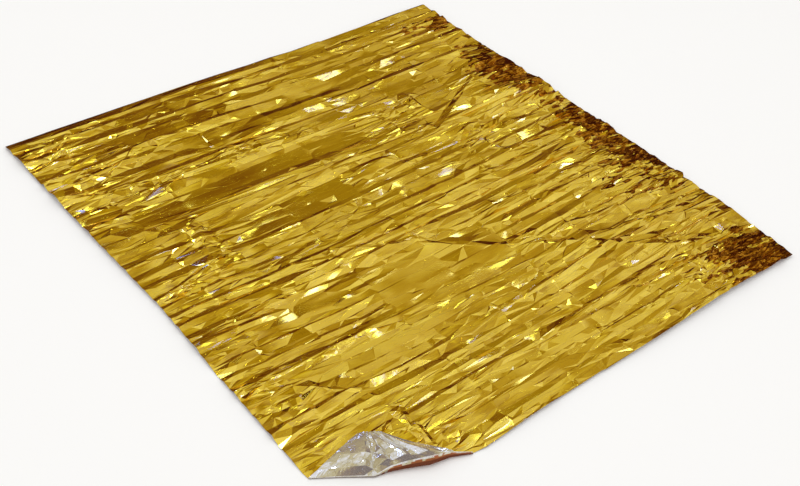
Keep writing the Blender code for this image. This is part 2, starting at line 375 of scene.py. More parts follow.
# Narrow facets pinched beside the creases: how likely one is beside a ridge's crest and beside any other
# crease, their widths from least to most with the commonest last, where along the crease they are widest,
# their slopes, and how wide one may be for its facet. They are more likely in the crumpled patches, and
# less where the pleats are high.
CREST_CHANCE = 0.35
CREST_WIDTHS = (0.003, 0.012, 0.006)
LIP_CHANCE = 0.72
LIP_WIDTHS = (0.001, 0.008, 0.0025)
SHORTEST_LIP = 0.015
PINCH_PLACES = (0.1, 0.9)
PINCH_SLOPES = (0.16, 0.38)
WIDEST_PINCH = 0.4
MORE_IN_PATCH = 0.1
LESS_IF_HIGH = 0.5
# An edge is part of a crest if it is no further from its line than this, and no further past its ends than
# this share of its length.
CREST_WIDTH = 0.0015
CREST_OVERRUN = 0.05
# The direction away from the near left corner, and how often a pinch beside a crest, or in a foot, lies on
# that side.
AWAY = Vector((0.5, 0.85, 0.0))
AWAY_ON_CREST = 0.8
AWAY_IN_FOOT = 0.35
# The facets are broken by slanting creases where more than this many breaks are due, give or take the
# stray, and otherwise into slender pointed ones. New points stand off their edge by about the bend's share
# of the room that they have. The splits are the shares of an edge at which it may be broken.
SHATTER_FROM = 2.3
SHATTER_BEND = 0.12
WEDGE_BEND = 0.09
BREAK_STRAY = 0.6
SMALLEST_FACET = 0.00006
ACROSS_WEIGHT = 2.2
SPLIT_CHANCE = 0.8
WIDE_SPLIT = (0.25, 0.75)
TIP_SPLIT = (0.35, 0.65)
WEDGE_SPLIT = (0.3, 0.7)
END_SLANT = 0.4
TIP_STRAY = 0.004
# Facets that face up less than this are smoothed. A few are left after the last round.
STEEPEST = 0.25
TANGLE_ROUNDS = 8
FIN_ROUNDS = 6
# Folds sharper than this show as a crisp line.
SHARP_FOLD = math.radians(4.0)
# The finished film's points, edges and facets are numbered along this direction.
ORDER = Vector((1.0, 37.0, 0.61))

# The material's small facets: how strongly they show, from calm film to crumpled, and how ragged the
# leaning ones' patches are. The leaning ones all face this way. The fine facets are this much finer than
# the coarse ones, and noise of this many times their number to the metre bends their edges.
CRUMPLE_MEAN = 0.45
CRUMPLE_IN_PATCH = 0.22
CRUMPLE_LIMITS = (0.08, 1.3)
RAGGED_WAVES = Waves(9.0, 40.0, 6.1)
RAGGED = 0.9
OUTWARD = (-0.9, -0.08, 0.0)
FINER = 2.2
BENDS = 0.8
# The film's soft tints and its dull spots: how the noise is stretched, and its scale.
CLOUDS = (("Streaks", (1.2, 34.0, 1.0), 1.0), ("Smudges", (1.0, 1.0, 1.0), 9.0))
CLOUD_DETAIL = 3.0
# The film's two faces: two close tints, the painted reflection on the leaning facets (on gold a dark painted
# shade, on silver the bend's painted copper reflection), how metallic it is, how rough from least to most,
# and how its crinkle is set. Streaks and smudges use the middle of their noise.
Finish = namedtuple("Finish", "tints deep metallic roughness crinkle")
CRINKLE_INPUTS = ("Coarse Tilt", "Fine Tilt", "Lean", "Across", "Drawn Out")
GOLD = Finish(
    tints=((0.885, 0.625, 0.025), (0.82, 0.53, 0.015)),
    # The dark tint below is a painted shade on the leaning facets, for the dark surroundings they mirror.
    deep=(0.58, 0.26, 0.02),
    metallic=1.0,
    roughness=(0.07, 0.10),
    crinkle=(0.09, 0.035, 1.0, 38.0, 3.6),
)
SILVER = Finish(
    tints=((0.82, 0.79, 0.74), (0.68, 0.65, 0.60)),
    # The copper tint below is a painted reflection on the silver bend.
    deep=(0.48, 0.17, 0.09),
    metallic=0.72,
    roughness=(0.07, 0.12),
    crinkle=(0.10, 0.05, 0.0, 50.0, 1.5),
)
MIDDLE_OF_NOISE = (0.3, 0.7)
# The film's clear face, as a coat on its metal.
CLEAR_FACE = 0.5
CLEAR_FACE_INDEX = 2.0
CLEAR_FACE_ROUGHNESS = 0.07

# The studio that the film mirrors: its level by height, how much its two sides differ from its ends, and
# how strong and how large its soft shapes are. All else sees it plain.
WORLD_HEIGHT = (
    (0.00, 0.05),
    (0.18, 0.18),
    (0.30, 0.29),
    (0.42, 0.40),
    (0.52, 0.475),
    (0.62, 0.54),
    (0.72, 0.615),
    (0.84, 0.715),
    (1.00, 0.88),
)
WORLD_SIDES = 0.13
WORLD_SHAPES = 2.0
WORLD_SHAPE_SCALE = 4.5
PLAIN_STUDIO = 0.93
# Round soft cards in it: their direction, the cosine at their rim, and how far they dim the studio, or
# brighten it if that is below 0. Their whole effect is reached inside the cosine that follows.
Card = namedtuple("Card", "x y z rim dims")
CARDS = (
    Card(0.548, 0.379, 0.745, 0.93, 0.06),
    Card(0.189, 0.706, 0.682, 0.94, 0.14),
    Card(0.316, 0.745, 0.588, 0.92, 0.11),
    Card(0.730, 0.372, 0.574, 0.95, 0.06),
    Card(0.588, 0.548, 0.595, 0.93, -0.16),
    Card(0.425, 0.480, 0.767, 0.94, 0.12),
    Card(0.858, 0.495, 0.139, 0.91, 0.22),
)
CARD_CORE = 0.99
# The studio's colours, from its dimmest level to its brightest.
WORLD_COLOURS = (
    (0.00, (0.06, 0.014, 0.008)),
    (0.10, (0.13, 0.045, 0.014)),
    (0.20, (0.23, 0.13, 0.026)),
    (0.35, (0.36, 0.27, 0.035)),
    (0.43, (0.46, 0.36, 0.10)),
    (0.51, (0.54, 0.46, 0.18)),
    (0.61, (0.65, 0.60, 0.38)),
    (0.73, (0.78, 0.77, 0.68)),
    (0.85, (0.88, 0.91, 1.00)),
    (1.00, (1.02, 1.08, 1.30)),
)

# The floor, which lies just under the sheet.
FLOOR_SIZE = 14.0
FLOOR_HEIGHT = -0.0006
FLOOR_COLOUR = (0.99, 0.98, 0.96)
FLOOR_ROUGHNESS = 0.8

# The lamps: a wide one overhead that the film doesn't mirror, a window that only the film mirrors, and
# small far lamps, spread evenly by the golden angle, that only glint. Every sixth is strong.
OVERHEAD_HEIGHT = 4.4
OVERHEAD_SIZE = 2.5
OVERHEAD_POWER = 12.0
WINDOW_PLACE = (-0.28, 2.36, 3.74)
WINDOW_SIZE = 0.42
WINDOW_POWER = 11.0
WINDOW_COLOUR = (0.66, 0.78, 1.0)
GLINT_LIGHTS = 34
GLINT_DISTANCE = 4.6
GLINT_SIZE = 0.15
GLINT_LOWEST = 36.0
GLINT_SPREAD = 34.0
GLINT_FIRST_TURN = 20.0
GOLDEN_SHARE = 0.381966
GOLDEN_ANGLE = 137.508
GLINT_COLOUR = (0.36, 0.50, 1.0)
GLINT_POWER = 0.56
STRONG_GLINT_POWER = 1.2
STRONG_GLINT_EVERY = 6

# The two kinds of maths node.
NUMBERS = "ShaderNodeMath"
VECTORS = "ShaderNodeVectorMath"

# The camera looks over the turned corner, a little rolled.
CAMERA_AIM = Vector((-0.119, -0.153, 0.0))
CAMERA_DISTANCE = 3.229
CAMERA_AZIMUTH = math.radians(-43.95)
CAMERA_ELEVATION = math.radians(40.36)
CAMERA_ROLL = math.radians(6.75)
CAMERA_LENS = 52.2


def eased(share):
    """A share from 0 to 1 that leaves both ends gently."""
    share = min(max(share, 0.0), 1.0)
    return share * share * (3.0 - 2.0 * share)


def rolling(waves, along, across):
    """The height of slow waves at a point, from about -1 to 1."""
    return noise.noise(Vector((along * waves.along, across * waves.across, waves.cut)))


def read(rows, key, at, column):
    """A table's column, read in straight runs between its rows."""
    for low, high in zip(rows, rows[1:]):
        if at <= getattr(high, key):
            span = getattr(high, key) - getattr(low, key)
            share = max(at - getattr(low, key), 0.0) / span
            return getattr(low, column) * (1.0 - share) + getattr(high, column) * share
    return getattr(rows[-1], column)


def crease_lines():
    """The creases across the length, three to each pleat: its bend, its crest and its foot."""
    draw = random.Random(SEED)
    lines = [Crease(0.0, 0.0, 0.0, 0.0)]
    start = 0.0
    for band in BANDS:
        pitch = band.length / band.pleats
        for _ in range(band.pleats):
            crest = draw.uniform(*CREST_SHARES)
            rise = crest * draw.uniform(*BEND_SHARES)
            height = band.height * (1.0 - crest) / (1.0 - sum(CREST_SHARES) / 2.0)
            lines.append(Crease(start + pitch * rise, height, rise / crest, band.uneven))
            lines.append(Crease(start + pitch * crest, height, 1.0, band.uneven))
            start += pitch
            lines.append(Crease(start, height, 0.0, band.uneven))
    stretch = LYING_LENGTH / start
    return [line._replace(y=line.y * stretch) for line in lines]


def cross_lines():
    """Where the cross creases lie, and how far each may wander: pairs stay put, loose ones don't."""
    lines = [(0.0, 0.0)]
    last = 0.0
    for fold in PACK_FOLDS:
        lines.append(((last + fold.x) / 2.0, LOOSE_WANDER * min((fold.x - last) / WHOLE_GAP, 1.0)))
        lines.append((fold.x - fold.gap / 2.0, PAIR_WANDER))
        lines.append((fold.x + fold.gap / 2.0, PAIR_WANDER))
        last = fold.x
    lines.append((LYING_WIDTH, 0.0))
    return lines


def patched(patches, x, y):
    """What the patches over a point add up to. Each fades out around its middle."""
    total = 0.0
    for patch in patches:
        away = math.hypot((x - patch.x) / patch.along, (y - patch.y) / patch.across)
        total += patch.strength * (1.0 - eased(away - PATCH_CORE))
    return total


def broken_ridges():
    """The ridges as pieces, where each with a steep strip becomes a chain of uneven ones."""
    draw = random.Random(SEED + 2)
    chain = []
    for ridge in RIDGES:
        if not ridge.step:
            chain.append(Piece(*ridge, 0.0, 1.0))
            continue
        start = Vector((ridge.x0, ridge.y0))
        along = Vector((ridge.x1, ridge.y1)) - start
        sideways = Vector((-along.y, along.x)).normalized()
        pieces = max(round(along.length / RIDGE_PIECE), 1)
        stops = [(piece + draw.uniform(-UNEVEN_STOPS, UNEVEN_STOPS)) / pieces for piece in range(pieces + 1)]
        stops[0] = 0.0
        stops[-1] = 1.0
        strays = [RIDGE_STRAY * draw.uniform(-1.0, 1.0) for _ in stops]
        for piece in range(pieces):
            first, last = stops[piece:piece + 2]
            a = start + along * first + sideways * strays[piece]
            end_stray = strays[piece + 1] + draw.uniform(-PIECE_GAP, PIECE_GAP)
            b = start + along * last + sideways * end_stray
            height = ridge.height * draw.uniform(*PIECE_HEIGHTS)
            step = ridge.step * draw.uniform(*PIECE_STEPS)
            chain.append(Piece(a.x, a.y, b.x, b.y, height, ridge.reach, step, first, last))
    return chain


def crest_line(ridge):
    """A ridge's start, its run, and the direction towards its far side."""
    start = Vector((ridge.x0, ridge.y0, 0.0))
    along = Vector((ridge.x1, ridge.y1, 0.0)) - start
    across = along.cross(UP).normalized()
    if across.dot(AWAY) < 0.0:
        across.negate()
    return start, along, across


def beside_ridge(ridge, x, y):
    """Where along a ridge a point lies nearest, its offset from there, and the direction of the far side."""
    start, along, across = crest_line(ridge)
    offset = Vector((x, y, 0.0)) - start
    share = min(max(offset.dot(along) / along.length_squared, 0.0), 1.0)
    return share, offset - along * share, across


def ridge_height(ridges, x, y):
    """The highest of the ridges over a point. Each fades around its crest, past its steep strip."""
    highest = 0.0
    for ridge in ridges:
        share, offset, across = beside_ridge(ridge, x, y)
        away = offset.length
        height = ridge.height * (1.0 + CREST_UNEVEN * rolling(CREST_WAVES, x, y))
        if offset.dot(across) > 0.0:
            whole = ridge.first + (ridge.last - ridge.first) * share
            step = min(away, ridge.step * min(STEP_TAPER * whole, STEP_TAPER * (1.0 - whole), 1.0))
            height -= STEP_SLOPE / max(across.dot(AWAY), LEAST_FACING) * step
            away = max(away - ridge.step, 0.0)
        highest = max(highest, height * (1.0 - eased(away / ridge.reach)))
    return highest


def crossed_by_main_ridge(x, y):
    """How near a point is to the main slanting ridges, from 0 to 1. They flatten the pleats beside them."""
    nearest = 0.0
    for ridge in RIDGES:
        if ridge.step < MAIN_STEP or abs(ridge.y1 - ridge.y0) < MAIN_SLANT * abs(ridge.x1 - ridge.x0):
            continue
        _, offset, _ = beside_ridge(ridge, x, y)
        nearest = max(nearest, 1.0 - eased(offset.length / MAIN_REACH))
    return nearest


def panel_height(x, y):
    """How far the broad panels replace the pleats at a point, from 0 to 1, and their height there."""
    for panel in PANELS:
        inside = min(x - panel.x0, panel.x1 - x, 2.0 * (y - panel.y0), 2.0 * (panel.y1 - y))
        share = eased(1.0 + inside / PANEL_MARGIN)
        if share > 0.0:
            run_x = x - (panel.x1 if panel.rise_x < 0.0 else panel.x0)
            run_y = y - (panel.y1 if panel.rise_y < 0.0 else panel.y0)
            return share, max(panel.rise_x * run_x + panel.rise_y * run_y, 0.0)
    return 0.0, 0.0


def disturbed(place):
    """1 where the pleats run, and little inside the broad panels."""
    return 1.0 - PANEL_CALM * panel_height(place.x, place.y)[0]


def fold_line():
    """The straight line under the fold: its start, its direction, its length and its inward normal."""
    start = Vector((FOLD[0].x, FOLD[0].y, 0.0))
    run = Vector((FOLD[-1].x, FOLD[-1].y, 0.0)) - start
    direction = run.normalized()
    return start, direction, run.length, Vector((-direction.y, direction.x, 0.0))


def calm(x, y):
    """0 on the corner's fold, 1 where the pleats have their full height again."""
    start, _, _, inward = fold_line()
    return eased((Vector((x, y, 0.0)) - start).dot(inward) / CALM_BESIDE_FOLD)


def row_place(rows, row, x, high, draw):
    """Where a row's crease passes at x, before it is kept clear of the row below."""
    y = rows[row].y
    last_row = len(rows) - 1
    if not 0 < row < last_row:
        return y
    slow = rolling(LEAN_WAVES, x, row)
    y -= WIDER_FALL * high if rows[row].share == 1.0 else 0.0
    y += CREST_LEAN * (LEAN_SLOW * slow + OWN_DRAW * draw.uniform(-1.0, 1.0))
    y += DRIFT * rolling(DRIFT_WAVES, x, y) * math.sin(math.pi * (rows[row].y / LYING_LENGTH))
    return min(y, LYING_LENGTH - SMALLEST_GAP * (last_row - row))


def film_lift(crease, row, x, y, raised, draw):
    """How high the film stands at a point of the grid: its pleat, its own waves, and the panels."""
    swell = rolling(SWELL_WAVES, x, (row - 1) // 3)
    lift = crease.height * crease.share * max(MEAN_SWELL + MORE_SWELL * crease.uneven * swell, LEAST_SWELL)
    lift *= raised
    flat = min(max(1.0 + patched(PATCHES, x, y) / 3.0, CALMEST), 1.0)
    own = rolling(OWN_WAVES, x, row) + OWN_DRAW * draw.uniform(-1.0, 1.0)
    busy = BUSY_MEAN + BUSY_MORE * rolling(BUSY_WAVES, x, y)
    here = 1.0 if crease.share in (0.0, 1.0) else OWN_AT_BEND
    lift = max(lift + OWN_LIFT * busy * own * here, 0.0) * flat
    lift += 0.5 * WAVE * (1.0 + rolling(WAVE_WAVES, x, y))
    # The margins stay straight beside the left edge.
    ragged = PANEL_RAGGED * rolling(RAGGED_MARGIN_WAVES, x, row) * eased(5.0 * x - 0.5)
    panel_share, panel_lift = panel_height(x + ragged, y)
    return lift + panel_share * (panel_lift - PANEL_CALM * lift)


def pleated_film():
    """A grid with a row of points on each crease and a column on each cross crease, then its heights."""
    rows = crease_lines()
    columns = cross_lines()
    last_row = len(rows) - 1
    last_column = len(columns) - 1
    bm = bmesh.new()
    bmesh.ops.create_grid(bm, x_segments=last_column, y_segments=last_row, size=0.5)
    draw = random.Random(SEED)
    below = [-SMALLEST_GAP] * (last_column + 1)
    for vert in sorted(bm.verts, key=lambda v: (round(v.co.y, 5), round(v.co.x, 5))):
        row = round((vert.co.y + 0.5) * last_row)
        column = round((vert.co.x + 0.5) * last_column)
        crease = rows[row]
        x, wander = columns[column]
        x_share = x / LYING_WIDTH
        y_share = crease.y / LYING_LENGTH
        x += wander * draw.uniform(-1.0, 1.0)
        crossed = crossed_by_main_ridge(x, crease.y)
        high = patched(HIGH_PLEATS, x, crease.y) * (1.0 - crossed)
        y = max(row_place(rows, row, x, high, draw), below[column] + SMALLEST_GAP)
        below[column] = y
        lift = film_lift(crease, row, x, y, (1.0 + high) * (1.0 - MAIN_CALM * crossed), draw)
        if wander == PAIR_WANDER:
            lift = max(lift + PAIR_PUCKER * draw.uniform(-1.0, 1.0), 0.0)
        left, right = (read(SIDES, "at", y_share, side) for side in ("left", "right"))
        near, far = (read(ENDS, "at", x_share, end) for end in ("near", "far"))
        x += left * (1.0 - x_share) + right * x_share
        y += near * (1.0 - y_share) + far * y_share
        vert.co = (x, y, lift * calm(x, y))
    return bm


def edge_middle(edge):
    """The middle of an edge."""
    return (edge.verts[0].co + edge.verts[1].co) / 2.0


def edge_run(edge):
    """The way from one end of an edge to the other."""
    return edge.verts[1].co - edge.verts[0].co


def in_order(parts, middle):
    """Parts of the mesh, sorted by where their middles lie."""
    return sorted(parts, key=lambda p: (round(middle(p).y, 5), round(middle(p).x, 5)))


def join_across(bm, draw):
    """Lets some facets run on across the cross creases, so that these don't show as straight lines."""
    crossing = []
    for edge in bm.edges:
        run = edge_run(edge)
        if abs(run.y) > abs(run.x) and len(edge.link_faces) == 2:
            crossing.append(edge)
    chosen = [edge for edge in in_order(crossing, edge_middle) if draw.random() < JOINED_SHARE]
    bmesh.ops.dissolve_edges(bm, edges=chosen, use_verts=False, use_face_split=False)


def nick(edge, share, bend, draw):
    """A new point on an edge, a little above or below the line it had."""
    length = edge.calc_length()
    _, vert = bmesh.utils.edge_split(edge, edge.verts[0], share)
    room = length * min(share, 1.0 - share)
    vert.co.z = max(vert.co.z + bend * room * draw.gauss(0.0, 1.0), 0.0)
    return vert


def weighted(edge):
    """An edge's length, where a run across the pleats counts for more."""
    run = edge_run(edge)
    return math.hypot(run.x, run.y * ACROSS_WEIGHT)


def shatter(face, levels, bend, draw):
    """Splits a facet again and again by slanting creases, across its longest sides."""
    if levels <= 0 or face.calc_area() < SMALLEST_FACET:
        return
    sides = sorted(face.edges, key=weighted, reverse=True)
    first = sides[0]
    others = [e for e in sides[1:] if not set(e.verts) & set(first.verts)]
    if others and draw.random() < SPLIT_CHANCE:
        a = nick(first, draw.uniform(*WIDE_SPLIT), bend, draw)
        b = nick(others[0], draw.uniform(*WIDE_SPLIT), bend, draw)
    elif others:
        a = first.verts[0]
        apart = [v for v in face.verts if v != a and not any(a in e.verts for e in v.link_edges)]
        if not apart:
            return
        b = max(apart, key=lambda v: (v.co - a.co).length)
    else:
        opposite = [v for v in face.verts if v not in first.verts]
        a = nick(first, draw.uniform(*TIP_SPLIT), bend, draw)
        b = opposite[0]
    made = bmesh.utils.face_split(face, a, b)
    if made and made[0]:
        shatter(made[0], levels - 1, bend, draw)
    shatter(face, levels - 1, bend, draw)


def wedge(face, levels, bend, draw):
    """Splits a long facet into slender pointed ones, each from a corner at one end to the other end."""
    if levels <= 0 or face.calc_area() < SMALLEST_FACET:
        return
    middle = face.calc_center_median()
    ends = {-1: [], 1: []}
    for edge in face.edges:
        run = edge_run(edge)
        if abs(run.y) > END_SLANT * abs(run.x):
            ends[-1 if edge_middle(edge).x < middle.x else 1].append(edge)
    side = draw.choice((-1, 1))
    if not ends[-side]:
        side = -side
    if not ends[-side]:
        return
    far_edge = max(ends[-side], key=lambda e: e.calc_length())
    candidates = [v for v in face.verts if v not in far_edge.verts]
    if not candidates:
        return
    a = max(candidates, key=lambda v: (side * (v.co.x - middle.x)) + TIP_STRAY * draw.random())
    b = nick(far_edge, draw.uniform(*WEDGE_SPLIT), bend, draw)
    made = bmesh.utils.face_split(face, a, b)
    if made and made[0]:
        wedge(made[0], levels - 1, bend, draw)
    wedge(face, levels - 1, bend, draw)


def runs_along(bm, shortest):
    """The edges that run along the pleats and have film on both sides."""
    found = []
    for edge in bm.edges:
        run = edge_run(edge)
        if abs(run.x) > shortest and abs(run.y) < ALONG_SLANT * abs(run.x) and len(edge.link_faces) == 2:
            found.append(edge)
    return in_order(found, edge_middle)


def kink(bm, draw):
    """Breaks the long creases in places, so that they run on in slightly different directions."""
    for edge in runs_along(bm, LONGEST_CREASE):
        length = edge.calc_length()
        pieces = max(round(length / draw.uniform(*CREASE_PIECES)), 1)
        for left in range(pieces, 1, -1):
            share = draw.uniform(*UNEVEN_PIECES) / left
            edge, vert = bmesh.utils.edge_split(edge, edge.verts[0], share)
            edge = max(vert.link_edges, key=lambda e: e.calc_length())
            vert.co.y += draw.uniform(-KINK_ASIDE, KINK_ASIDE)
            vert.co.z = max(vert.co.z + disturbed(vert.co) * draw.uniform(-KINK_UP, KINK_UP), 0.0)


def on_ridges(bm, ridges):
    """The edges along the ridges' crests."""
    found = []
    for edge in bm.edges:
        if len(edge.link_faces) != 2:
            continue
        for ridge in ridges:
            start, along, across = crest_line(ridge)
            shares = [(v.co - start).dot(along) / along.length_squared for v in edge.verts]
            offsets = [abs((v.co - start).dot(across)) for v in edge.verts]
            within = min(shares) > -CREST_OVERRUN and max(shares) < 1.0 + CREST_OVERRUN
            if max(offsets) < CREST_WIDTH and within:
                found.append(edge)
                break
    return in_order(found, edge_middle)


def pinch(edges, chance, widths, draw):
    """Presses a narrow pointed facet beside a crease, mostly on the side away from the near corner."""
    for edge in edges:
        place = edge_middle(edge)
        likely = chance + MORE_IN_PATCH * patched(PATCHES, place.x, place.y)
        likely *= disturbed(place) * (1.0 - LESS_IF_HIGH * patched(HIGH_PLEATS, place.x, place.y))
        if draw.random() > likely:
            continue
        across = edge_run(edge).cross(UP)
        across.z = 0.0
        across.normalize()
        if across.dot(AWAY) < 0.0:
            across.negate()
        faces = sorted(edge.link_faces, key=lambda f: across.dot(f.calc_center_median()))
        around = (faces[0].calc_center_median().z + faces[1].calc_center_median().z) / 2.0
        on_crest = place.z > around
        away = draw.random() < (AWAY_ON_CREST if on_crest else AWAY_IN_FOOT)
        face = faces[1] if away else faces[0]
        a, b = edge.verts
        width = min(draw.triangular(*widths), WIDEST_PINCH * face.calc_area() / edge.calc_length())
        point = a.co.lerp(b.co, draw.uniform(*PINCH_PLACES))
        slope = draw.uniform(*PINCH_SLOPES)
        point += across * (width if away else -width)
        point.z = max(point.z + (-slope if on_crest else slope) * width, 0.0)
        bmesh.utils.face_split(face, a, b, coords=(point,))


def drop_fins(bm):
    """Removes the tiny facets that lie doubled on one another, or stand loose on an edge of two others."""
    for _ in range(FIN_ROUNDS):
        times = Counter(frozenset(face.verts) for face in bm.faces)
        fins = []
        for face in bm.faces:
            crowded = any(len(edge.link_faces) > 2 for edge in face.edges)
            loose = crowded and any(edge.is_boundary for edge in face.edges)
            if loose or times[frozenset(face.verts)] > 1:
                fins.append(face)
        if not fins:
            break
        bmesh.ops.delete(bm, geom=fins, context="FACES")


def lay_tangles(bm):
    """Smooths the few facets that the creasing stood on edge or turned over."""
    axes = {"use_axis_x": True, "use_axis_y": True, "use_axis_z": True}
    for _ in range(TANGLE_ROUNDS):
        bm.normal_update()
        tangled = []
        for vert in bm.verts:
            if not vert.is_boundary and any(face.normal.z < STEEPEST for face in vert.link_faces):
                tangled.append(vert)
        if not tangled:
            break
        bmesh.ops.smooth_vert(bm, verts=tangled, factor=0.5, **axes)


def faces_with_parts(faces):
    """Faces with their edges and corners, each once, as the cutting operator takes them."""
    return list(dict.fromkeys(part for face in faces for part in (face, *face.edges, *face.verts)))


def passes_through(face, start, along, across):
    """Whether a straight crease passes through a face."""
    if (face.calc_center_median() - start).length > LONGEST_FACET:
        return False
    shares = []
    for edge in face.edges:
        a, b = (vert.co - start for vert in edge.verts)
        side_a = a.dot(across)
        side_b = b.dot(across)
        if (side_a < 0.0) != (side_b < 0.0):
            shares.append(a.lerp(b, side_a / (side_a - side_b)).dot(along) / along.length_squared)
    return bool(shares) and min(shares) < 1.0 and max(shares) > 0.0


def cut_ends(bm, ridge):
    """Cuts across a steep strip at its two ends, so that it starts and stops there."""
    start, along, across = crest_line(ridge)
    for end in (start, start + along):
        place = end - across * END_MARGIN
        width = across * (ridge.step + 2.0 * END_MARGIN)
        crossed = [face for face in bm.faces if passes_through(face, place, width, along.normalized())]
        parts = faces_with_parts(crossed)
        bmesh.ops.bisect_plane(bm, geom=parts, dist=SNAP, plane_co=end, plane_no=along.normalized())


def raise_ridges(bm, ridges):
    """Cuts the sheet along each crest, and along the foot of its steep strip, and raises it there."""
    for ridge in ridges:
        start, along, across = crest_line(ridge)
        offsets = [0.0]
        if ridge.step:
            offsets.append(ridge.step)
        elif ridge.reach < NARROW_RIDGE:
            offsets += [-ridge.reach, ridge.reach]
        for offset in offsets:
            place = start + across * offset
            crossed = [face for face in bm.faces if passes_through(face, place, along, across)]
            parts = faces_with_parts(crossed)
            bmesh.ops.bisect_plane(bm, geom=parts, dist=SNAP, plane_co=place, plane_no=across)
        if ridge.step and abs(along.y) < MAIN_SLANT * abs(along.x):
            cut_ends(bm, ridge)
    inner = [vert for vert in bm.verts if not vert.is_boundary]
    bmesh.ops.remove_doubles(bm, verts=inner, dist=SNAP)
    for vert in bm.verts:
        vert.co.z += ridge_height(ridges, vert.co.x, vert.co.y)


def cut_off_corner(bm):
    """Removes what lies beyond the fold, and returns the cut's edges, each point marked with its share."""
    start, direction, length, inward = fold_line()
    near_corner = []
    for face in bm.faces:
        center = face.calc_center_median()
        if center.x < CORNER_REACH and center.y < CORNER_REACH:
            near_corner.append(face)
    bmesh.ops.bisect_plane(
        bm,
        geom=faces_with_parts(near_corner),
        dist=SNAP,
        plane_co=start,
        plane_no=inward,
        clear_inner=True,
    )
    along_layer = bm.verts.layers.float.new("along")
    on_cut = set()
    for vert in bm.verts:
        offset = vert.co - start
        if abs(offset.dot(inward)) < CUT_WIDTH and vert.is_boundary:
            on_cut.add(vert)
            vert[along_layer] = min(max(offset.dot(direction) / length, 0.0), 1.0)
    return [e for e in bm.edges if e.is_boundary and e.verts[0] in on_cut and e.verts[1] in on_cut]


def bend_point(along, turn):
    """A point of the bend, where turn runs from 0 on the ground to 1 on top."""
    _, _, _, inward = fold_line()
    radius = read(FOLD, "along", along, "bend") / 2.0
    foot = Vector((read(FOLD, "along", along, "x"), read(FOLD, "along", along, "y"), 0.0))
    angle = math.pi * turn
    return foot - inward * radius * math.sin(angle) + Vector((0.0, 0.0, radius * (1.0 - math.cos(angle))))


def flap_point(along, row):
    """A point of the flap, led from the bend's top to the tip and held by the two free edges."""
    last = FLAP[-1]
    left_tip = Vector((last.left_x, last.left_y, last.height))
    right_tip = Vector((last.right_x, last.right_y, last.height))
    ends = (
        (1.0 - along, bend_point(0.0, 1.0), left_tip, Vector((row.left_x, row.left_y, row.height))),
        (along, bend_point(1.0, 1.0), right_tip, Vector((row.right_x, row.right_y, row.height))),
    )
    point = bend_point(along, 1.0).lerp(left_tip.lerp(right_tip, along), row.share)
    for weight, root, tip, held in ends:
        point += weight * (held - root.lerp(tip, row.share))
    return point


def flap_lift(along, share):
    """How far the flap stands off its plane: straight between its creases, which swing from row to row."""
    stops = []
    for index, place in enumerate(FLAP_CREASES):
        free = min(FLAP_FREE * place, FLAP_FREE * (1.0 - place), 1.0) * (1.0 - FLAP_FADE * share)
        place += FLAP_SWING * free * rolling(FLAP_SWING_WAVES, index, share)
        way = 1.0 if index % 2 else -1.0
        swell = rolling(FLAP_SWELL_WAVES, index, share)
        stops.append((place, FLAP_LIFT * free * max(1.0 + way + FLAP_SWELL * swell, 0.0)))
    for (low, low_lift), (high, high_lift) in zip(stops, stops[1:]):
        if along <= high:
            run = min(max((along - low) / (high - low), 0.0), 1.0)
            return low_lift * (1.0 - run) + high_lift * run
    return 0.0


def turn_corner(bm):
    """Carries the cut edge round its bend and on to the flap's blunt tip, ring by ring."""
    edges = cut_off_corner(bm)
    along_layer = bm.verts.layers.float["along"]
    lean = bm.verts.layers.float["lean"]
    crumple = bm.verts.layers.float["crumple"]
    for vert in {v for edge in edges for v in edge.verts}:
        vert.co = bend_point(vert[along_layer], 0.0)
    rings = [("bend", (step + 1) / BEND_STEPS) for step in range(BEND_STEPS)]
    rings += [("flap", row) for row in FLAP]
    for kind, place in rings:
        grown = bmesh.ops.extrude_edge_only(bm, edges=edges)["geom"]
        edges = [item for item in grown if isinstance(item, bmesh.types.BMEdge)]
        ring = [item for item in grown if isinstance(item, bmesh.types.BMVert)]
        for vert in sorted(ring, key=lambda v: v[along_layer]):
            along = vert[along_layer]
            vert[lean] = 0.0
            if kind == "bend":
                vert.co = bend_point(along, place)
                # The bend's copper is a painted reflection, carried in the lean mask.
                painted_copper = eased((along - PAINTED_COPPER_FROM) / (PAINTED_COPPER_TO - PAINTED_COPPER_FROM))
                vert[lean] = painted_copper * eased(3.0 - 3.0 * place)
            else:
                vert.co = flap_point(along, place)
                vert.co.z = min(vert.co.z + flap_lift(along, place.share), FLAP_TOP)
                vert[crumple] = FLAP_CRUMPLE


def mark_facets(bm):
    """Notes on each point how crumpled the film is there, and how many of its small facets lean, which also
    marks where their colour is painted dark as painted shade.
    """
    crumple = bm.verts.layers.float.new("crumple")
    lean = bm.verts.layers.float.new("lean")
    least, most = CRUMPLE_LIMITS
    for vert in bm.verts:
        x, y, _ = vert.co
        vert[crumple] = min(max(CRUMPLE_MEAN + CRUMPLE_IN_PATCH * patched(PATCHES, x, y), least), most)
        ragged = RAGGED * rolling(RAGGED_WAVES, x, y)
        vert[lean] = min(max(patched(LEANS, x, y) * (1.0 + ragged), 0.0), 1.0)


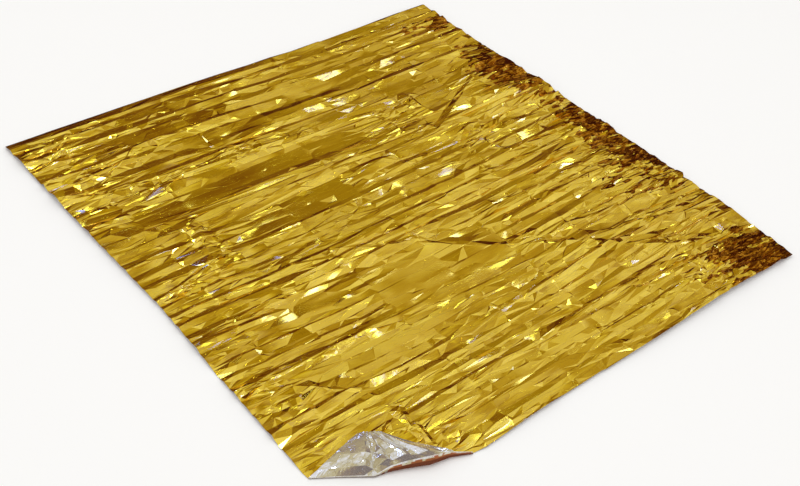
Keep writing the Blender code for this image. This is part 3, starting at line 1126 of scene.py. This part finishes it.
def foil_film():
    """The whole sheet as one thin film: creased, made sound, and its corner turned."""
    bm = pleated_film()
    draw = random.Random(SEED + 1)
    ridges = broken_ridges()
    join_across(bm, draw)
    raise_ridges(bm, ridges)
    kink(bm, draw)
    panels = in_order(bm.faces, lambda f: f.calc_center_median())
    pinch(on_ridges(bm, ridges), CREST_CHANCE, CREST_WIDTHS, draw)
    pinch(runs_along(bm, SHORTEST_LIP), LIP_CHANCE, LIP_WIDTHS, draw)
    for face in panels:
        middle = face.calc_center_median()
        breaks = 1.0 + patched(PATCHES, middle.x, middle.y) + draw.uniform(-BREAK_STRAY, BREAK_STRAY)
        if breaks > SHATTER_FROM:
            shatter(face, round(breaks), SHATTER_BEND, draw)
        else:
            wedge(face, round(breaks), WEDGE_BEND, draw)
    bmesh.ops.dissolve_degenerate(bm, dist=SNAP, edges=bm.edges)
    bmesh.ops.triangulate(bm, faces=bm.faces)
    bmesh.ops.dissolve_degenerate(bm, dist=LAST_SNAP, edges=bm.edges)
    drop_fins(bm)
    lay_tangles(bm)
    mark_facets(bm)
    turn_corner(bm)
    low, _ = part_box("foil_sheet")
    x, y, z = SHEET_CORNER
    bmesh.ops.translate(bm, verts=bm.verts, vec=Vector((low.x + x, low.y + y, z)))
    bmesh.ops.triangulate(bm, faces=bm.faces)
    drop_fins(bm)
    for edge in bm.edges:
        edge.smooth = len(edge.link_faces) == 2 and edge.calc_face_angle(0.0) < SHARP_FOLD
    for face in bm.faces:
        face.smooth = True
    # The extrusions leave their parts in no fixed order.
    bm.verts.sort(key=lambda v: v.co.dot(ORDER))
    bm.edges.sort(key=lambda e: edge_middle(e).dot(ORDER))
    bm.faces.sort(key=lambda f: f.calc_center_median().dot(ORDER))
    bm.normal_update()
    mesh = bpy.data.meshes.new("foil_film")
    bm.to_mesh(mesh)
    bm.free()
    film = bpy.data.objects.new("foil_film", mesh)
    bpy.context.scene.collection.objects.link(film)
    crinkle = film_crinkle()
    mesh.materials.append(metal_film("gold film", GOLD, crinkle))
    mesh.materials.append(metal_film("silver film", SILVER, crinkle))
    thickness = film.modifiers.new("Film thickness", "SOLIDIFY")
    thickness.thickness = FILM_THICKNESS
    thickness.offset = -1.0
    thickness.material_offset = 1
    return film


def joined(tree, kind, operation, first, second):
    """The result of a maths node. Each of the two things it joins is a socket or a constant."""
    node = tree.nodes.new(kind)
    node.operation = operation
    for socket, value in zip(node.inputs, (first, second)):
        if isinstance(value, bpy.types.NodeSocket):
            tree.links.new(value, socket)
        else:
            socket.default_value = value
    single = kind == NUMBERS or operation == "DOT_PRODUCT"
    return node.outputs["Value" if single else "Vector"]


def ramp(tree, value, stops):
    """The colour that a ramp of stops gives to a socket's value."""
    node = tree.nodes.new("ShaderNodeValToRGB")
    tree.links.new(value, node.inputs["Fac"])
    elements = node.color_ramp.elements
    while len(elements) < len(stops):
        elements.new(0.5)
    for element, (position, colour) in zip(elements, stops):
        element.position = position
        element.color = (*colour, 1.0)
    return node.outputs["Color"]


def ranged(tree, value, limits):
    """A socket's value, moved from one range to another."""
    node = tree.nodes.new("ShaderNodeMapRange")
    tree.links.new(value, node.inputs["Value"])
    for name, limit in zip(("From Min", "From Max", "To Min", "To Max"), limits):
        node.inputs[name].default_value = limit
    return node.outputs["Result"]


def clouds(tree, place, scale, detail):
    """Soft noise over a place."""
    node = tree.nodes.new("ShaderNodeTexNoise")
    node.inputs["Scale"].default_value = scale
    node.inputs["Detail"].default_value = detail
    tree.links.new(place, node.inputs["Vector"])
    return node.outputs


def film_crinkle():
    """Fine creasing: two sizes of small tilted facets, drawn out along the pleats, and faint streaks."""
    group = bpy.data.node_groups.new("film crinkle", "ShaderNodeTree")
    for name in CRINKLE_INPUTS:
        group.interface.new_socket(name, in_out="INPUT", socket_type="NodeSocketFloat")
    for name in ("Height", "Leaning", "Streaks", "Smudges"):
        group.interface.new_socket(name, in_out="OUTPUT", socket_type="NodeSocketFloat")
    nodes = group.nodes
    links = group.links
    given = nodes.new("NodeGroupInput").outputs
    result = nodes.new("NodeGroupOutput").inputs
    place = nodes.new("ShaderNodeTexCoord").outputs["Object"]
    number = partial(joined, group, NUMBERS)
    vector = partial(joined, group, VECTORS)

    def vertex_value(name):
        node = nodes.new("ShaderNodeAttribute")
        node.attribute_name = name
        return node.outputs["Fac"]

    stretch = nodes.new("ShaderNodeCombineXYZ")
    links.new(number("DIVIDE", given["Across"], given["Drawn Out"]), stretch.inputs["X"])
    links.new(given["Across"], stretch.inputs["Y"])
    links.new(given["Across"], stretch.inputs["Z"])
    drawn = vector("MULTIPLY", place, stretch.outputs["Vector"])
    total = None
    for scale, tilt in ((1.0, "Coarse Tilt"), (FINER, "Fine Tilt")):
        shifted = vector("ADD", drawn, clouds(group, drawn, scale * BENDS, 1.0)["Color"])
        cells = nodes.new("ShaderNodeTexVoronoi")
        cells.voronoi_dimensions = "2D"
        cells.inputs["Scale"].default_value = scale
        links.new(shifted, cells.inputs["Vector"])
        local = vector("SUBTRACT", shifted, cells.outputs["Position"])
        lean = vector("SUBTRACT", cells.outputs["Color"], (0.5, 0.5, 0.5))
        height = number("MULTIPLY", vector("DOT_PRODUCT", local, lean), given[tilt])
        total = height if total is None else number("ADD", total, height)
    total = number("MULTIPLY", total, vertex_value("crumple"))
    chance = vector("DOT_PRODUCT", cells.outputs["Color"], (1.0, 0.0, 0.0))
    chosen = number("LESS_THAN", chance, vertex_value("lean"))
    links.new(chosen, result["Leaning"])
    leaning = number("MULTIPLY", vector("DOT_PRODUCT", local, OUTWARD), chosen)
    total = number("ADD", total, number("MULTIPLY", leaning, given["Lean"]))
    links.new(number("DIVIDE", total, given["Across"]), result["Height"])
    for name, stretched, size in CLOUDS:
        spread = vector("MULTIPLY", place, stretched)
        links.new(clouds(group, spread, size, CLOUD_DETAIL)["Fac"], result[name])
    return group


def metal_film(name, finish, crinkle):
    """A face's material: streaks of two close tints, a painted reflection on the leaning facets, smudges
    that dull it, creases, and a clear face.
    """
    material = bpy.data.materials.new(name)
    material.use_nodes = True
    tree = material.node_tree
    nodes = tree.nodes
    links = tree.links
    shader = nodes["Principled BSDF"].inputs
    shader["Metallic"].default_value = finish.metallic
    shader["Coat Roughness"].default_value = CLEAR_FACE_ROUGHNESS
    shader["Coat IOR"].default_value = CLEAR_FACE_INDEX
    creases = nodes.new("ShaderNodeGroup")
    creases.node_tree = crinkle
    for key, value in zip(CRINKLE_INPUTS, finish.crinkle):
        creases.inputs[key].default_value = value
    streaks, smudges, leaning = (creases.outputs[key] for key in ("Streaks", "Smudges", "Leaning"))
    # Where facets lean, the colour turns to a painted reflection: painted shade on gold, painted copper on
    # the silver bend.
    painted_reflection_mix = nodes.new("ShaderNodeMix")
    painted_reflection_mix.data_type = "RGBA"
    painted_reflection_mix.inputs["B"].default_value = (*finish.deep, 1.0)
    links.new(leaning, painted_reflection_mix.inputs["Factor"])
    links.new(ramp(tree, streaks, tuple(zip(MIDDLE_OF_NOISE, finish.tints))), painted_reflection_mix.inputs["A"])
    links.new(painted_reflection_mix.outputs["Result"], shader["Base Color"])
    links.new(ranged(tree, leaning, (0.0, 1.0, CLEAR_FACE, 0.0)), shader["Coat Weight"])
    links.new(ranged(tree, smudges, (*MIDDLE_OF_NOISE, *finish.roughness)), shader["Roughness"])
    bump = nodes.new("ShaderNodeBump")
    bump.inputs["Distance"].default_value = 1.0
    links.new(creases.outputs["Height"], bump.inputs["Height"])
    links.new(bump.outputs["Normal"], shader["Normal"])
    return material


def add_floor():
    """A plain pale floor, just under the sheet."""
    bpy.ops.mesh.primitive_plane_add(size=FLOOR_SIZE, location=(0.0, 0.0, FLOOR_HEIGHT))
    floor = bpy.context.object
    floor.name = "floor"
    material = bpy.data.materials.new("pale floor")
    material.use_nodes = True
    shader = material.node_tree.nodes["Principled BSDF"].inputs
    shader["Base Color"].default_value = (*FLOOR_COLOUR, 1.0)
    shader["Roughness"].default_value = FLOOR_ROUGHNESS
    floor.data.materials.append(material)
    floor.visible_glossy = False


def add_light(name, place, size, power, colour=(1.0, 1.0, 1.0)):
    """A square soft lamp that faces the sheet's middle."""
    light = bpy.data.lights.new(name, "AREA")
    light.size = size
    light.energy = power
    light.color = colour
    lamp = bpy.data.objects.new(name, light)
    lamp.location = place
    lamp.rotation_euler = (-Vector(place)).to_track_quat("-Z", "Y").to_euler()
    bpy.context.scene.collection.objects.link(lamp)
    return lamp


def add_lights():
    """The lamp overhead, the window, and the small lamps that glint."""
    overhead = add_light("overhead", (0.0, 0.0, OVERHEAD_HEIGHT), OVERHEAD_SIZE, OVERHEAD_POWER)
    overhead.visible_glossy = False
    window = add_light("window", WINDOW_PLACE, WINDOW_SIZE, WINDOW_POWER, WINDOW_COLOUR)
    window.visible_diffuse = False
    for index in range(GLINT_LIGHTS):
        rise = math.radians(GLINT_LOWEST + GLINT_SPREAD * ((index * GOLDEN_SHARE) % 1.0))
        turn = math.radians(GOLDEN_ANGLE * index + GLINT_FIRST_TURN)
        level = math.cos(rise)
        toward = Vector((level * math.cos(turn), level * math.sin(turn), math.sin(rise)))
        power = GLINT_POWER if index % STRONG_GLINT_EVERY else STRONG_GLINT_POWER
        glint = add_light(f"glint {index + 1}", GLINT_DISTANCE * toward, GLINT_SIZE, power, GLINT_COLOUR)
        glint.visible_diffuse = False


def add_world():
    """The studio around the sheet, which the film mirrors and all else sees plain."""
    world = bpy.data.worlds.new("studio")
    bpy.context.scene.world = world
    world.use_nodes = True
    tree = world.node_tree
    number = partial(joined, tree, NUMBERS)
    place = tree.nodes.new("ShaderNodeTexCoord").outputs["Generated"]
    split = tree.nodes.new("ShaderNodeSeparateXYZ")
    tree.links.new(place, split.inputs["Vector"])
    x, y, z = (split.outputs[axis] for axis in "XYZ")
    level = ramp(tree, z, [(height, (bright,) * 3) for height, bright in WORLD_HEIGHT])
    sides = number("SUBTRACT", number("MULTIPLY", x, x), number("MULTIPLY", y, y))
    level = number("ADD", level, number("MULTIPLY", sides, WORLD_SIDES))
    shape = number("SUBTRACT", clouds(tree, place, WORLD_SHAPE_SCALE, 1.0)["Fac"], 0.5)
    level = number("MULTIPLY", level, number("ADD", number("MULTIPLY", shape, WORLD_SHAPES), 1.0))
    for card in CARDS:
        toward = number("ADD", number("MULTIPLY", x, card.x), number("MULTIPLY", y, card.y))
        toward = number("ADD", toward, number("MULTIPLY", z, card.z))
        within = ramp(tree, toward, ((card.rim, (0.0,) * 3), (CARD_CORE, (1.0,) * 3)))
        level = number("SUBTRACT", level, number("MULTIPLY", within, card.dims))
    mix = tree.nodes.new("ShaderNodeMix")
    mix.data_type = "RGBA"
    mirrored = tree.nodes.new("ShaderNodeLightPath").outputs["Is Glossy Ray"]
    tree.links.new(mirrored, mix.inputs["Factor"])
    mix.inputs["A"].default_value = (PLAIN_STUDIO,) * 3 + (1.0,)
    tree.links.new(ramp(tree, level, WORLD_COLOURS), mix.inputs["B"])
    tree.links.new(mix.outputs["Result"], tree.nodes["Background"].inputs["Color"])


def add_camera():
    """The camera, turned towards its aim and then rolled."""
    camera = bpy.data.objects.new("camera", bpy.data.cameras.new("camera"))
    level = math.cos(CAMERA_ELEVATION)
    back = Vector((
        math.sin(CAMERA_AZIMUTH) * level,
        -math.cos(CAMERA_AZIMUTH) * level,
        math.sin(CAMERA_ELEVATION),
    ))
    camera.location = CAMERA_AIM + back * CAMERA_DISTANCE
    camera.rotation_mode = "QUATERNION"
    camera.rotation_quaternion = (-back).to_track_quat("-Z", "Y") @ Quaternion(UP, CAMERA_ROLL)
    camera.data.lens = CAMERA_LENS
    bpy.context.scene.collection.objects.link(camera)
    bpy.context.scene.camera = camera


add_camera()
add_floor()
add_world()
add_lights()
film = foil_film()
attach(film, "root")
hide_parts("foil_sheet")
bpy.context.scene.view_settings.view_transform = "Standard"
